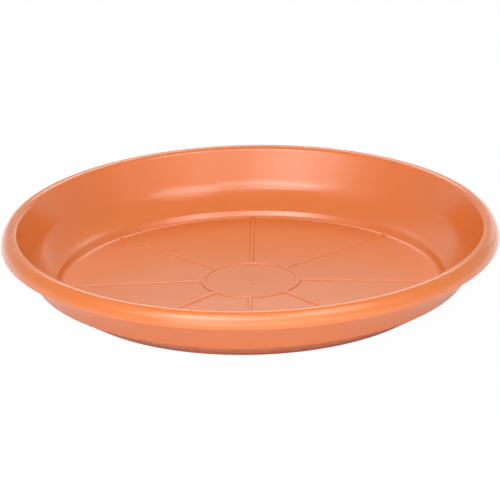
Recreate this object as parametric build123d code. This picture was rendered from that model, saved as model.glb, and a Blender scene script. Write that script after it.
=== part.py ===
from build123d import *
import os
from math import cos, radians, sin, tan

# Plant saucer: one thin-walled injection moulding in terracotta polypropylene.
# Millimetres, +Z up, origin at the bottom centre, where the saucer stands.

# Overall size
rim_diameter = 300.0
height = 39.8
wall = 2.2
upper_wall = 1.7

# Floor, which falls a little from its middle to the step, and the ring that the saucer stands on
floor_height = 4.5
floor_fall = 2.4
floor_thickness = 1.7
foot_width = 8.0
foot_chamfer_run = 0.8

# Step, shoulder, cove and upper wall, as seen from the inside
step_rise = 3.9
step_angle = 50.0
shoulder_width = 8.0
shoulder_angle = 31.5
cove_width = 6.2
cove_angle = 50.0
wall_angle = 66.5

# Rolled rim with its open skirt
rim_width = 9.9
mouth_round = 3.7
rim_drop = 9.0
nose_round = 10.5
skirt_length = 0.7

# Ribs and ring that hold the pot clear of the drained water
rib_count = 8
rib_height = 0.9
rib_width = 2.8
rib_edge_height = 0.65
rib_top_width = 1.6
rib_draft = 7.0
rib_root = 0.1
ring_radius = 28.7
ring_width = 3.2

# Witness of the moulding gate at the middle of the floor
gate_radius = 1.6
gate_height = 0.3


def rise(run, angle):
    return run * tan(radians(angle))


def run_of(climb, angle):
    return climb / tan(radians(angle))


def inner_corners():
    """Sharp corners of the inside, worked out from the rim down to the foot of the step."""
    wall_top = (rim_diameter / 2 - rim_width, height - mouth_round * (1 - cos(radians(wall_angle))))
    foot_z = floor_height - floor_fall
    step_top_z = foot_z + step_rise
    cove_z = step_top_z + rise(shoulder_width, shoulder_angle)
    bend_z = cove_z + rise(cove_width, cove_angle)
    bend = (wall_top[0] - run_of(wall_top[1] - bend_z, wall_angle), bend_z)
    cove = (bend[0] - cove_width, cove_z)
    step_top = (cove[0] - shoulder_width, step_top_z)
    foot = (step_top[0] - run_of(step_rise, step_angle), foot_z)
    return foot, step_top, cove, bend, wall_top


def outer_corners(step_top, bend):
    """Where the outsides of the shoulder and the upper wall meet, and where the shoulder meets the ground."""
    lean = radians(shoulder_angle)
    under = (step_top[0] + wall * sin(lean), step_top[1] - wall * cos(lean))
    base_edge = (under[0] - run_of(under[1], shoulder_angle), 0)
    wall_foot_r = bend[0] + upper_wall / sin(radians(wall_angle)) - run_of(bend[1], wall_angle)
    bend_z = (wall_foot_r - base_edge[0]) / (run_of(1, shoulder_angle) - run_of(1, wall_angle))
    outer_bend = (wall_foot_r + run_of(bend_z, wall_angle), bend_z)
    return outer_bend, base_edge


def saucer_section():
    """Half section of the moulding: the wall from the axis up to the mouth, and the rim rolled out of it."""
    foot, step_top, cove, bend, wall_top = inner_corners()
    outer_bend, base_edge = outer_corners(step_top, bend)
    foot_inner_r = base_edge[0] - foot_width
    recess_r = foot_inner_r - foot_chamfer_run
    recess_z = foot[1] + floor_fall * (foot[0] - recess_r) / (foot[0] - ring_radius) - floor_thickness
    recess_top_z = floor_height - floor_thickness

    # The crown runs level off the crest and meets the flatter nose, which ends upright at the rim's side
    rim_radius = rim_diameter / 2
    crest_r = wall_top[0] + mouth_round * sin(radians(wall_angle))
    reach = rim_radius - crest_r
    crown_round = (reach**2 + rim_drop**2 - 2 * reach * nose_round) / (2 * (rim_drop - nose_round))
    crown_centre = Vector(crest_r, height - crown_round)
    nose_centre = Vector(rim_radius - nose_round, height - rim_drop)
    crown_end = (crown_centre - nose_centre).normalized()
    crown_sweep = crown_end.get_angle(Vector(0, 1))
    lip_z = nose_centre.Y - skirt_length

    # Under the rim three bevels follow the crown and the nose one wall thickness inside them
    skirt_inner_r = rim_radius - wall
    nose_middle = (crown_end + Vector(1, 0)).normalized()
    roof_corner = crown_centre + crown_end * (crown_round - wall)
    nose_corner = nose_centre + nose_middle * (nose_round - wall)
    groove_root = (outer_bend[0] + run_of(height - wall - outer_bend[1], wall_angle), height - wall)

    with BuildSketch(Plane.XZ) as section:
        with BuildLine():
            inside = Polyline((0, floor_height), (ring_radius, floor_height), foot, step_top, cove, bend, wall_top)
            mouth = JernArc(inside @ 1, inside % 1, mouth_round, -wall_angle)
            crown = JernArc(mouth @ 1, mouth % 1, crown_round, -crown_sweep)
            nose = JernArc(crown @ 1, crown % 1, nose_round, crown_sweep - 90)
            Polyline(
                nose @ 1, (rim_radius, lip_z), (skirt_inner_r, lip_z), (skirt_inner_r, nose_centre.Y),
                nose_corner, roof_corner, groove_root, outer_bend, base_edge, (foot_inner_r, 0),
                (recess_r, recess_z), (ring_radius, recess_top_z), (0, recess_top_z), (0, floor_height),
            )
        make_face()
    return section.sketch


def rib_section(base_width, plane):
    """Drafted section of a rib that is rooted in the floor, with a bevel along each top edge."""
    edge_width = base_width - 2 * rib_edge_height * tan(radians(rib_draft))
    crest_width = base_width - (rib_width - rib_top_width)
    with BuildSketch(plane) as section:
        with BuildLine():
            Polyline(
                (-base_width / 2, -rib_root), (base_width / 2, -rib_root), (edge_width / 2, rib_edge_height),
                (crest_width / 2, rib_height), (-crest_width / 2, rib_height), (-edge_width / 2, rib_edge_height),
                close=True,
            )
        make_face()
    return section.sketch


def saucer():
    """The whole moulding: the turned shell, its ribs and ring, and the gate's witness."""
    foot = inner_corners()[0]
    with BuildPart() as moulding:
        add(saucer_section())
        revolve(axis=Axis.Z)

        # Eight ribs run down the floor from the ring into the face of the step
        fall = Vector(foot[0] - ring_radius, 0, -floor_fall)
        with PolarLocations(0, rib_count):
            with BuildPart(mode=Mode.PRIVATE) as rib:
                start = Plane(origin=(ring_radius, 0, floor_height), x_dir=(0, 1, 0), z_dir=fall)
                extrude(rib_section(rib_width, start), amount=fall.length + run_of(rib_height, step_angle))
            add(rib.part)

        # The ring joins the ribs round the middle of the floor
        ring_plane = Plane(origin=(ring_radius, 0, floor_height), x_dir=(1, 0, 0), z_dir=(0, -1, 0))
        add(rib_section(ring_width, ring_plane))
        revolve(axis=Axis.Z)

        with Locations((0, 0, floor_height)):
            Cylinder(gate_radius, gate_height, align=(Align.CENTER, Align.CENTER, Align.MIN))
    return moulding.part


os.makedirs("parts", exist_ok=True)
body = saucer()
body.label = "saucer"
export_step(body, "parts/saucer.step")
print("saucer", body.bounding_box().size, "volume", round(body.volume), "solids", len(body.solids()))
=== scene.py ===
from math import asin, atan, ceil, cos, pi, radians, sin, tan

import bpy
from mathutils import Matrix, Vector


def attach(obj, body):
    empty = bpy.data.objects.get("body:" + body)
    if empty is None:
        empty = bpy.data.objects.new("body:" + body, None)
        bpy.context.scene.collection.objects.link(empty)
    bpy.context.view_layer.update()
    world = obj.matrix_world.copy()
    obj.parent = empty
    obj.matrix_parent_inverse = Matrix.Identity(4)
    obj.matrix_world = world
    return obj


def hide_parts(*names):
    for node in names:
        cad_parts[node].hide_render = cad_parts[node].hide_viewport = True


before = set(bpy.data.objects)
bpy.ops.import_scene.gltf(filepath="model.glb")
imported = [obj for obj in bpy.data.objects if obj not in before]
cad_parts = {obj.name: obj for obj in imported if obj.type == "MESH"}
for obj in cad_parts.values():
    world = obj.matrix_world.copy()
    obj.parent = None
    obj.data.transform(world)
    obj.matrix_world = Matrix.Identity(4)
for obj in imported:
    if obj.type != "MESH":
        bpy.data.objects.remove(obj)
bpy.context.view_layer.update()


# The saucer's moulding: one thin shell of terracotta polypropylene, filled through a gate in the
# middle of its floor. From the floor it climbs a step, a shoulder and an upright wall, and rolls
# over into a hollow rim; eight ribs and a ring stand on the floor to keep a pot out of the water.

# Sizes in metres, and angles in degrees above level
rim_radius, saucer_height = 0.1500, 0.0398
wall, upper_wall = 0.0022, 0.0017
floor_level, floor_fall, floor_thickness = 0.0045, 0.0024, 0.0017
step_rise, step_angle = 0.0039, 58
shoulder_width, shoulder_angle = 0.0080, 31.5
cove_width, cove_angle = 0.0062, 50
rim_width, wall_angle, mouth_round = 0.0099, 66.5, 0.0037
rim_drop, nose_round, skirt_length = 0.0090, 0.0105, 0.0007
foot_width, foot_bevel = 0.0080, 0.0008
ring_radius, ring_width = 0.0287, 0.0032
rib_count, rib_width, rib_height = 8, 0.0028, 0.0007
gate_radius, gate_height = 0.0016, 0.0003

# How far the sides of the ring and the ribs lean in: the ring by an angle, a rib by a share of
# its half width. A squareness of 2 would make a rib half round, and more makes it boxier.
ring_draft = 20
rib_taper, rib_squareness = 0.10, 4.0

# Rounds of the mould, from the gate out to the mouth and back along the underside
gate_edge_round, gate_root_round = 0.00015, 0.0001
ring_root_round, ring_edge_round = 0.0003, 0.0004
step_foot_round, step_top_round = 0.0030, 0.0020
cove_round, bend_round = 0.0360, 0.0230
lip_round, hollow_side_round, hollow_roof_round, hollow_root_round = 0.0006, 0.0040, 0.0015, 0.0008
outer_bend_round, base_edge_round, foot_edge_round, dome_round = 0.0020, 0.0012, 0.0004, 0.0100

# How finely the mesh follows the rounds, in degrees to a step; how far from its rounds a straight
# run gets a point; and how many columns cross a rib, and the floor's panel between two ribs
small_round, small_round_step, large_round_step = 0.0006, 18, 7
flat_end = 0.0004
rib_columns, panel_columns = 12, 24


def run_of(climb, angle):
    """How far a slope runs outwards over a climb."""
    return climb / tan(radians(angle))


def rounded(corners):
    """Points along a line of (r, z, round) corners, with an arc round each corner.

    A point near each end of a long straight run keeps the shading of the run flat.
    """
    arcs = [[Vector(corners[0][:2])]]
    for before, (r, z, radius), after in zip(corners, corners[1:], corners[2:]):
        corner = Vector((r, z))
        back = (Vector(before[:2]) - corner).normalized()
        ahead = (Vector(after[:2]) - corner).normalized()
        turn = pi - back.angle(ahead)
        side = 1 if ahead.cross(back) > 0 else -1
        centre = corner + (back + ahead).normalized() * radius / cos(turn / 2)
        start = corner + back * radius * tan(turn / 2) - centre
        step = small_round_step if radius < small_round else large_round_step
        steps = max(2, ceil(turn / radians(step)))
        turns = [Matrix.Rotation(side * turn * k / steps, 2) for k in range(steps + 1)]
        arcs.append([centre + turned @ start for turned in turns])
    arcs.append([Vector(corners[-1][:2])])

    line = []
    for arc, following in zip(arcs, arcs[1:]):
        meets = line and (line[-1] - arc[0]).length < flat_end / 100
        line += arc[1:] if meets else arc
        run = following[0] - arc[-1]
        if run.length > 3 * flat_end:
            inset = run.normalized() * flat_end
            line += [arc[-1] + inset, following[0] - inset]
    return line + arcs[-1]


def inner_corners():
    """Sharp corners of the inside, worked out from the rim down.

    They are the mouth, the bend, the cove, and the step's top and foot.
    """
    lean = radians(wall_angle)
    mouth_r = rim_radius - rim_width + mouth_round * tan(lean / 2) * cos(lean)
    foot_z = floor_level - floor_fall
    step_top_z = foot_z + step_rise
    cove_z = step_top_z + shoulder_width * tan(radians(shoulder_angle))
    bend_z = cove_z + cove_width * tan(radians(cove_angle))
    bend_r = mouth_r - run_of(saucer_height - bend_z, wall_angle)
    step_top_r = bend_r - cove_width - shoulder_width
    foot_r = step_top_r - run_of(step_rise, step_angle)
    return (
        (mouth_r, saucer_height), (bend_r, bend_z), (bend_r - cove_width, cove_z),
        (step_top_r, step_top_z), (foot_r, foot_z),
    )


def saucer_half_section():
    """Half section from the middle of the floor, over the rim, to the middle of the underside."""
    mouth, bend, cove, step_top, foot = inner_corners()

    # The outside lies one wall below the shoulder and one upper wall outside the upper wall
    lean = radians(shoulder_angle)
    under_shoulder_z = step_top[1] - wall * cos(lean)
    base_r = step_top[0] + wall * sin(lean) - run_of(under_shoulder_z, shoulder_angle)
    wall_foot_r = bend[0] + upper_wall / sin(radians(wall_angle)) - run_of(bend[1], wall_angle)
    outer_z = (wall_foot_r - base_r) / (run_of(1, shoulder_angle) - run_of(1, wall_angle))
    outer_r = wall_foot_r + run_of(outer_z, wall_angle)

    # The underside is lifted clear of the table inside the foot
    floor_run = foot[0] - ring_radius
    recess_r = base_r - foot_width - foot_bevel
    recess_z = foot[1] + floor_fall * (foot[0] - recess_r) / floor_run - floor_thickness
    under_ring_z = floor_level - floor_thickness

    # The crown runs level off the crest and meets the flatter nose, upright at the rim's side
    crest_r = rim_radius - rim_width + mouth_round * sin(radians(wall_angle))
    reach = rim_radius - crest_r
    crown = (reach**2 + rim_drop**2 - 2 * reach * nose_round) / (2 * (rim_drop - nose_round))
    sweep = asin((nose_round - reach) / (nose_round - crown))
    nose_centre = Vector((rim_radius - nose_round, saucer_height - rim_drop))
    nose_corner_z = nose_centre.y + nose_round * tan((pi / 2 - sweep) / 2)
    lip_z = nose_centre.y - skirt_length

    # The hollow under the rim follows the crown and the nose one wall inside
    crown_end = Vector((sin(sweep), cos(sweep)))
    nose_middle = (crown_end + Vector((1, 0))).normalized()
    roof_corner = Vector((crest_r, saucer_height - crown)) + crown_end * (crown - wall)
    side_corner = nose_centre + nose_middle * (nose_round - wall)
    skirt_r = rim_radius - wall
    root_z = saucer_height - wall
    root_r = outer_r + run_of(root_z - outer_z, wall_angle)

    # The ring straddles the edge where the floor begins to fall
    ring_in, ring_out = ring_radius - ring_width / 2, ring_radius + ring_width / 2
    ring_top = floor_level + rib_height
    ring_foot_z = floor_level - floor_fall * (ring_out - ring_radius) / floor_run
    draft = rib_height * tan(radians(ring_draft))

    return rounded([
        (0, floor_level + gate_height, 0),
        (gate_radius, floor_level + gate_height, gate_edge_round),
        (gate_radius, floor_level, gate_root_round),
        (ring_in, floor_level, ring_root_round),
        (ring_in + draft, ring_top, ring_edge_round),
        (ring_out - draft, ring_top, ring_edge_round),
        (ring_out, ring_foot_z, ring_root_round),
        (*foot, step_foot_round),
        (*step_top, step_top_round),
        (*cove, cove_round),
        (*bend, bend_round),
        (*mouth, mouth_round),
        (crest_r + crown * tan(sweep / 2), saucer_height, crown),
        (rim_radius, nose_corner_z, nose_round),
        (rim_radius, lip_z, lip_round),
        (skirt_r, lip_z, lip_round),
        (skirt_r, nose_centre.y, hollow_side_round),
        (*side_corner, hollow_side_round),
        (*roof_corner, hollow_roof_round),
        (root_r, root_z, hollow_root_round),
        (outer_r, outer_z, outer_bend_round),
        (base_r, 0, base_edge_round),
        (base_r - foot_width, 0, foot_edge_round),
        (recess_r, recess_z, foot_edge_round),
        (ring_radius, under_ring_z, dome_round),
        (0, under_ring_z, 0),
    ])


class Wire:
    """A node's output that takes arithmetic: an expression on wires adds its Math nodes."""

    def __init__(self, bench, socket):
        self.bench, self.socket = bench, socket

    def __add__(self, other):
        return self.bench.maths("ADD", self, other)

    def __radd__(self, other):
        return self.bench.maths("ADD", other, self)

    def __sub__(self, other):
        return self.bench.maths("SUBTRACT", self, other)

    def __rsub__(self, other):
        return self.bench.maths("SUBTRACT", other, self)

    def __mul__(self, other):
        return self.bench.maths("MULTIPLY", self, other)

    def __rmul__(self, other):
        return self.bench.maths("MULTIPLY", other, self)

    def __truediv__(self, other):
        return self.bench.maths("DIVIDE", self, other)

    def __rtruediv__(self, other):
        return self.bench.maths("DIVIDE", other, self)

    def __pow__(self, other):
        return self.bench.maths("POWER", self, other)


class Bench:
    """Where one node tree is put together."""

    def __init__(self, tree):
        self.tree = tree

    def node(self, kind, settings, sockets, out=0):
        """Adds a node, sets it, then feeds its sockets with values and wires; gives one output."""
        made = self.tree.nodes.new(kind)
        for name, value in settings.items():
            setattr(made, name, value)
        for name, value in sockets.items():
            if isinstance(value, Wire):
                self.tree.links.new(value.socket, made.inputs[name])
            else:
                made.inputs[name].default_value = value
        return Wire(self, made.outputs[out]) if len(made.outputs) else None

    def maths(self, operation, *values):
        return self.node("ShaderNodeMath", {"operation": operation}, dict(enumerate(values)))

    def fade(self, value, low, high):
        """Runs smoothly from 0, where a value is low, to 1, where it is high."""
        return self.node(
            "ShaderNodeMapRange", {"interpolation_type": "SMOOTHSTEP"},
            {"Value": value, "From Min": low, "From Max": high},
        )


def cleared_bench(owner):
    """A bench on the emptied node tree of a material or a world."""
    owner.use_nodes = True
    owner.node_tree.nodes.clear()
    return Bench(owner.node_tree)


def set_down(name, data):
    """Puts a new object in the scene."""
    made = bpy.data.objects.new(name, data)
    bpy.context.scene.collection.objects.link(made)
    return made


def moulding_tree():
    """Turns the half section round the axis.

    Between the ring and the step, the columns of each rib are lifted to the rib's own section.
    """
    tree = bpy.data.node_groups.new("turned_and_ribbed", "GeometryNodeTree")
    face = tree.interface
    for name, kind in {
        "Half Section": "Geometry", "Rib Count": "Int", "Rib Width": "Float",
        "Rib Height": "Float", "Rib Taper": "Float", "Rib Squareness": "Float",
        "Ring Radius": "Float", "Floor Level": "Float", "Floor Slope": "Float",
        "Rib Columns": "Int", "Panel Columns": "Int", "Plastic": "Material",
    }.items():
        face.new_socket(name, in_out="INPUT", socket_type="NodeSocket" + kind)
    face.new_socket("Moulding", in_out="OUTPUT", socket_type="NodeSocketGeometry")
    bench = Bench(tree)
    feed = tree.nodes.new("NodeGroupInput")
    given = {socket.name: Wire(bench, socket) for socket in feed.outputs}
    section, width = given["Half Section"], given["Rib Width"]
    across, between = given["Rib Columns"], given["Panel Columns"]
    sector_columns = across + between
    columns = given["Rib Count"] * sector_columns + 1
    rows = bench.node(
        "GeometryNodeAttributeDomainSize", {"component": "MESH"}, {"Geometry": section}
    )
    sheet = bench.node("GeometryNodeMeshGrid", {}, {"Vertices X": rows, "Vertices Y": columns})

    # Each vertex knows its row of the section, its sector, and its column within the sector. The
    # added half keeps a whole number whole through the division.
    index = bench.node("GeometryNodeInputIndex", {}, {})
    row = bench.maths("FLOOR", (index + 0.5) / columns)
    column = index - row * columns
    sector = bench.maths("FLOOR", (column + 0.5) / sector_columns)
    within = column - sector * sector_columns

    def of_row(name):
        """What the half section says at the vertex's row."""
        value = bench.node(
            "GeometryNodeInputNamedAttribute", {"data_type": "FLOAT"}, {"Name": name}
        )
        return bench.node(
            "GeometryNodeSampleIndex", {"data_type": "FLOAT"},
            {"Geometry": section, "Value": value, "Index": row},
        )

    r, z, ribbed = of_row("section_r"), of_row("section_z"), of_row("ribbed")

    # Across a rib the columns follow a drafted box with rounded edges, closer together at its
    # flanks. The lift is nothing at the rib's first and last column, which stay on the floor.
    short_of_edges = 0.9999
    in_rib = bench.maths("MINIMUM", within, across)
    lean = (in_rib / across - 0.5) * pi
    power = 2 / given["Rib Squareness"]
    lift = bench.maths("ABSOLUTE", bench.maths("COSINE", lean)) ** power
    lift = lift * bench.maths("COMPARE", in_rib * 2 / across, 1, short_of_edges)
    swing = bench.maths("SINE", lean)
    aside = bench.maths("SIGN", swing) * bench.maths("ABSOLUTE", swing) ** power
    aside = aside * width / 2 * (1 - given["Rib Taper"] * lift)

    # Between two ribs the columns spread over the panel, closest beside the ribs
    share = bench.maths("MAXIMUM", within - across, 0) / between
    share = 0.5 - 0.5 * bench.maths("COSINE", share * pi)

    # A rib keeps its width on its way out, so it takes less of the turn there; near the axis,
    # where there is no rib, the columns are held apart as they are two rib widths out
    arm = bench.maths("MAXIMUM", r, width * 2)
    half_rib = bench.maths("ARCSINE", width / 2 / arm)
    sector_angle = 2 * pi / given["Rib Count"]
    panel_angle = share * (sector_angle - 2 * half_rib)
    angle = sector * sector_angle + bench.maths("ARCSINE", aside / arm) + panel_angle

    floor = given["Floor Level"] - given["Floor Slope"] * (r - given["Ring Radius"])
    top = bench.maths("MAXIMUM", z, floor + given["Rib Height"] * lift)
    place = bench.node("ShaderNodeCombineXYZ", {}, {
        "X": r * bench.maths("COSINE", angle),
        "Y": r * bench.maths("SINE", angle),
        "Z": z + ribbed * (top - z),
    })
    shape = bench.node("GeometryNodeSetPosition", {}, {"Geometry": sheet, "Position": place})
    shape = bench.node("GeometryNodeMergeByDistance", {}, {"Geometry": shape, "Distance": 0.000001})
    shape = bench.node("GeometryNodeSetShadeSmooth", {}, {"Geometry": shape, "Shade Smooth": True})
    shape = bench.node("GeometryNodeRealizeInstances", {}, {"Geometry": shape})
    shape = bench.node(
        "GeometryNodeSetMaterial", {}, {"Geometry": shape, "Material": given["Plastic"]}
    )
    bench.node("NodeGroupOutput", {}, {"Moulding": shape})
    return tree


def terracotta_plastic():
    """Satin polypropylene in an even pigment.

    It has faint flow lines from the gate, a fine grain, and light scuffs where handling wears it.
    Their paler colour is partly a painted highlight along the crest.
    """
    plastic = bpy.data.materials.new("terracotta_plastic")
    bench = cleared_bench(plastic)
    spot = bench.node("ShaderNodeTexCoord", {}, {}, "Object")
    x, y, z = (bench.node("ShaderNodeSeparateXYZ", {}, {"Vector": spot}, axis) for axis in "XYZ")
    r = bench.maths("SQRT", x * x + y * y)

    def noise(vector, scale, detail, roughness=0.5):
        return bench.node(
            "ShaderNodeTexNoise", {},
            {"Vector": vector, "Scale": scale, "Detail": detail, "Roughness": roughness}, "Fac",
        )

    def vector_maths(operation, *vectors, **others):
        sockets = {**dict(enumerate(vectors)), **others}
        return bench.node("ShaderNodeVectorMath", {"operation": operation}, sockets)

    def mixed(share, first, second):
        """A colour between two, through the colour sockets of a Mix node."""
        sockets = {0: share, 6: first, 7: second}
        return bench.node("ShaderNodeMix", {"data_type": "RGBA"}, sockets, 2)

    # Flow lines run out from the gate: noise that is stretched along the radius
    lines_round, lines_outwards = 9.0, 14
    gate_fade = 0.004, 0.05
    outwards = bench.node("ShaderNodeCombineXYZ", {}, {"X": x, "Y": y, "Z": 0})
    around = vector_maths("SCALE", vector_maths("NORMALIZE", outwards), Scale=lines_round)
    along = bench.node("ShaderNodeCombineXYZ", {}, {"X": 0, "Y": 0, "Z": r * lines_outwards})
    flow = noise(vector_maths("ADD", around, along), scale=1.0, detail=3)
    flow = flow * bench.fade(r, *gate_fade)
    cloud = noise(spot, scale=18, detail=2)
    speckle = noise(spot, scale=2600, detail=2)

    # Scuffs gather on the rim's nose and crest and on the foot, and lie flat along them; their
    # paler colour is real wear and partly a painted highlight along the crest
    nose_r, nose_z, crest_z, foot_z = (0.1475, 0.15), (0.03, 0.032), (0.0393, 0.0398), (0, 0.0003)
    scratch_and_highlight_squash = 1.0, 1.0, 6.0
    scratch_and_highlight_level = 0.56, 0.70
    on_nose = bench.fade(r, *nose_r) * bench.fade(z, *nose_z)
    worn_and_highlit = bench.maths("MAXIMUM", on_nose, bench.fade(z, *crest_z))
    worn_and_highlit = bench.maths("MAXIMUM", worn_and_highlit, 1 - bench.fade(z, *foot_z))
    scratch_and_highlight_spot = vector_maths("MULTIPLY", spot, scratch_and_highlight_squash)
    scratch_and_highlight_noise = noise(scratch_and_highlight_spot, scale=420, detail=5, roughness=0.65)
    scuff_and_highlight = bench.fade(scratch_and_highlight_noise, *scratch_and_highlight_level) * worn_and_highlit

    middle = 0.5

    def uneven(level, by_cloud, by_flow, by_speckle):
        """A level that the three patterns move up and down about their middle."""
        return (
            level + (cloud - middle) * by_cloud + (flow - middle) * by_flow
            + (speckle - middle) * by_speckle
        )

    deep_pigment, light_pigment = (0.660, 0.155, 0.024, 1), (0.710, 0.178, 0.032, 1)
    # The paler colour of the scuffs is handling wear, and on the crest also a painted highlight
    scuff_and_highlight_pigment, scuff_and_highlight_share = (0.86, 0.36, 0.20, 1), 0.15
    tint = uneven(middle, by_cloud=0.9, by_flow=0.35, by_speckle=0.5)
    pigment = mixed(tint, deep_pigment, light_pigment)
    colour = mixed(scuff_and_highlight * scuff_and_highlight_share, pigment, scuff_and_highlight_pigment)

    # The mould is polished from the foot of the step outwards, and its floor is a little duller
    polished, duller_floor, duller_scuff = 0.19, 0.13, 0.10
    floor_edge = 0.1130, 0.1145
    on_floor = 1 - bench.fade(r, *floor_edge)
    roughness = uneven(
        polished + on_floor * duller_floor, by_cloud=0.08, by_flow=0.04, by_speckle=0.05
    )
    roughness = roughness + scuff_and_highlight * duller_scuff

    # The skin is faintly dimpled, as mouldings are, and is pressed in where it is scuffed
    dimple_share, scuff_depth = 0.6, 0.1
    peel = noise(spot, scale=520, detail=2) * dimple_share + speckle * (1 - dimple_share)
    skin = bench.node(
        "ShaderNodeBump", {},
        {"Strength": 0.35, "Distance": 0.00004, "Height": peel - scuff_and_highlight * scuff_depth},
    )
    surface = bench.node("ShaderNodeBsdfPrincipled", {}, {
        "Base Color": colour, "Roughness": roughness, "IOR": 1.49, "Specular IOR Level": 0.8,
        "Normal": skin,
    })
    bench.node("ShaderNodeOutputMaterial", {}, {"Surface": surface})
    return plastic


def saucer_moulding():
    """The whole moulding as one plain mesh."""
    section = saucer_half_section()
    _, _, cove, _, foot = inner_corners()
    cove_row = next(row for row, place in enumerate(section) if place.x >= cove[0])
    points = bpy.data.meshes.new("half_section")
    points.from_pydata([(place.x, 0, place.y) for place in section], [], [])
    for name, values in {
        "section_r": [place.x for place in section],
        "section_z": [place.y for place in section],
        "ribbed": [
            float(place.x >= ring_radius and row < cove_row) for row, place in enumerate(section)
        ],
    }.items():
        points.attributes.new(name, "FLOAT", "POINT").data.foreach_set("value", values)
    inputs = {
        "Rib Count": rib_count, "Rib Width": rib_width, "Rib Height": rib_height,
        "Rib Taper": rib_taper, "Rib Squareness": rib_squareness, "Ring Radius": ring_radius,
        "Floor Level": floor_level, "Floor Slope": floor_fall / (foot[0] - ring_radius),
        "Rib Columns": rib_columns, "Panel Columns": panel_columns,
        "Plastic": terracotta_plastic(),
    }
    blank = set_down("saucer_blank", points)
    turning = blank.modifiers.new("turned_and_ribbed", "NODES")
    turning.node_group = moulding_tree()
    for socket in turning.node_group.interface.items_tree:
        if socket.name in inputs:
            turning[socket.identifier] = inputs[socket.name]
    bpy.context.view_layer.update()
    evaluated = blank.evaluated_get(bpy.context.evaluated_depsgraph_get())
    mesh = bpy.data.meshes.new_from_object(evaluated)
    bpy.data.objects.remove(blank)
    return set_down("saucer_moulding", mesh)


saucer = saucer_moulding()
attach(saucer, "root")
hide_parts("saucer")


# The table that the saucer stands on: a seamless sheet of white paper, laid flat. The camera sees
# it plain white with a trace of the saucer's shadow. The gloss sees it glowing brighter, a painted
# reflection, and close round the foot a painted shadow of the saucer takes that glow away.

sheet_half_width, sheet_drop = 6, 0.0001
paper_white, plain_share = 0.93, 0.98
gloss_glow, gloss_share, painted_foot_shadow_radii = 0.7, 0.6, (0.120, 0.148)


def ray_masks(bench):
    """One mask for rays straight from the camera, and one for rays off a glossy surface."""
    masks = "Is Camera Ray", "Is Glossy Ray"
    return [bench.node("ShaderNodeLightPath", {}, {}, mask) for mask in masks]


sheet_mesh = bpy.data.meshes.new("white_sheet")
sheet_mesh.from_pydata(
    [
        (sheet_half_width * x, sheet_half_width * y, -sheet_drop)
        for x, y in ((-1, -1), (1, -1), (1, 1), (-1, 1))
    ],
    [], [(0, 1, 2, 3)],
)
white_sheet = set_down("white_sheet", sheet_mesh)
paper = bpy.data.materials.new("white_paper")
bench = cleared_bench(paper)
seen, mirrored = ray_masks(bench)
spot = bench.node("ShaderNodeTexCoord", {}, {}, "Object")
from_middle = bench.node("ShaderNodeVectorMath", {"operation": "LENGTH"}, {0: spot}, "Value")
# A painted shadow of the saucer: the glow that the gloss sees fades out towards the foot
clear_of_painted_foot_shadow = bench.fade(from_middle, *painted_foot_shadow_radii)
shaded = bench.node(
    "ShaderNodeBsdfDiffuse", {}, {"Color": (paper_white, paper_white, paper_white, 1)}
)
# The glow that the gloss sees is a painted reflection, brighter than the lit paper
bright = bench.node(
    "ShaderNodeEmission", {}, {"Color": (1, 1, 1, 1), "Strength": 1.0 + mirrored * gloss_glow}
)
glow = seen * plain_share + mirrored * clear_of_painted_foot_shadow * gloss_share
sheet_surface = bench.node("ShaderNodeMixShader", {}, {0: glow, 1: shaded, 2: bright})
bench.node("ShaderNodeOutputMaterial", {}, {"Surface": sheet_surface})
sheet_mesh.materials.append(paper)


# The studio: a white room with oval soft boxes on stands, the smaller and brighter ones inside
# the larger and weaker ones, so that the gloss shows lights that fade towards their edges. None
# is a part of the saucer, and they are set so that its colour renders about as it is mixed.

room_level, room_in_gloss, horizon_in_gloss, horizon_fall = 0.20, 0.34, 0.46, 3
stand_distance = 1.5

room = bpy.data.worlds.new("white_room")
bpy.context.scene.world = room
bench = cleared_bench(room)
seen, mirrored = ray_masks(bench)
direction = bench.node("ShaderNodeTexCoord", {}, {}, "Generated")
height = bench.node("ShaderNodeSeparateXYZ", {}, {"Vector": direction}, "Z")
horizon = (1 - bench.maths("MAXIMUM", height, 0)) ** horizon_fall
in_gloss = room_in_gloss + horizon_in_gloss * horizon
level = room_level + seen * (1 - room_level) + mirrored * in_gloss
backdrop = bench.node("ShaderNodeBackground", {}, {"Color": (1, 1, 1, 1), "Strength": level})
bench.node("ShaderNodeOutputWorld", {}, {"Surface": backdrop})


def towards(bearing, climb):
    """The way from the saucer to a stand. A bearing runs from the camera's side to its right."""
    side, up = radians(bearing), radians(climb)
    return Vector((sin(side) * cos(up), -cos(side) * cos(up), sin(up)))


def soft_box(name, bearing, climb, width, depth, radiance):
    """An oval lamp aimed at the saucer; its watts are pi times its radiance times its area."""
    lamp = bpy.data.lights.new(name, "AREA")
    lamp.shape, lamp.size, lamp.size_y = "ELLIPSE", width, depth
    lamp.energy = radiance * pi * pi / 4 * width * depth
    stand = set_down(name, lamp)
    stand.location = stand_distance * towards(bearing, climb)
    stand.rotation_euler = (-stand.location).to_track_quat("-Z", "Y").to_euler()


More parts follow.
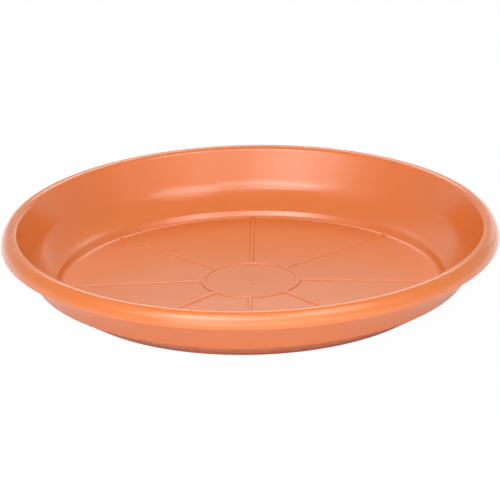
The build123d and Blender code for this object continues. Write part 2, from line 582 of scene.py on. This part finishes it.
# Name, bearing, climb, width, depth and radiance
for box in (
    ("wide_box", -4, 38, 3.40, 1.45, 0.55),
    ("middle_box", -6, 38, 2.20, 1.45, 0.65),
    ("key_box", -27, 38, 1.25, 1.45, 0.8),
    ("key_core", -25, 40, 0.65, 0.80, 0.9),
    ("key_top", -22, 52, 0.80, 0.60, 0.7),
    ("key_spot", -30, 44, 0.55, 0.24, 3.4),
    ("middle_spot", 0, 44, 0.80, 0.24, 2.6),
    ("right_spot", 36, 49, 0.70, 0.26, 1.6),
    ("right_box", 48, 52, 0.70, 0.90, 2.0),
    ("high_box", 5, 62, 1.20, 0.45, 0.7),
    ("far_left_box", -62, 38, 0.80, 1.40, 0.4),
    ("far_right_box", 66, 32, 0.80, 0.90, 0.4),
    ("low_front_strip", 8, 9, 3.40, 0.40, 1.6),
    ("low_left_strip", -20, 6, 1.10, 0.32, 0.9),
    ("back_box", 180, 45, 1.35, 0.75, 2.7),
    ("back_left_box", -145, 32, 1.00, 0.80, 0.2),
    ("low_back_box", 158, 10, 1.00, 0.45, 0.6),
):
    soft_box(*box)


# The photograph's standpoint: a long lens 3.6 m off, 21 degrees above the table, turned and
# rolled by the small angles that bring the floor's centre to its place in the picture.

# Metres and degrees, then the picture's pixels, then the sensor's millimetres
camera_distance, camera_bearing, camera_climb, camera_roll = 3.6, 1.1, 20.84, -1.17
target = Vector((0, 0, 0.0035))
picture_width, focal_length, floor_centre = 500, 5966.0, (250.27, 281.51)
sensor_width = 36

lens = bpy.data.cameras.new("long_lens")
lens.sensor_width = sensor_width
lens.lens = focal_length / picture_width * sensor_width
lens.clip_start, lens.clip_end = 0.1, 50
camera = set_down("camera", lens)
offset = towards(camera_bearing, camera_climb)
aim = (-offset).to_track_quat("-Z", "Y").to_matrix().to_4x4()
right_by, down_by = (atan((place - picture_width / 2) / focal_length) for place in floor_centre)
turn = Matrix.Rotation(right_by, 4, "Y") @ Matrix.Rotation(down_by, 4, "X")
camera.matrix_world = (
    Matrix.Translation(target + offset * camera_distance)
    @ aim @ turn @ Matrix.Rotation(radians(camera_roll), 4, "Z")
)
bpy.context.scene.camera = camera
bpy.context.scene.view_settings.view_transform = "Standard"
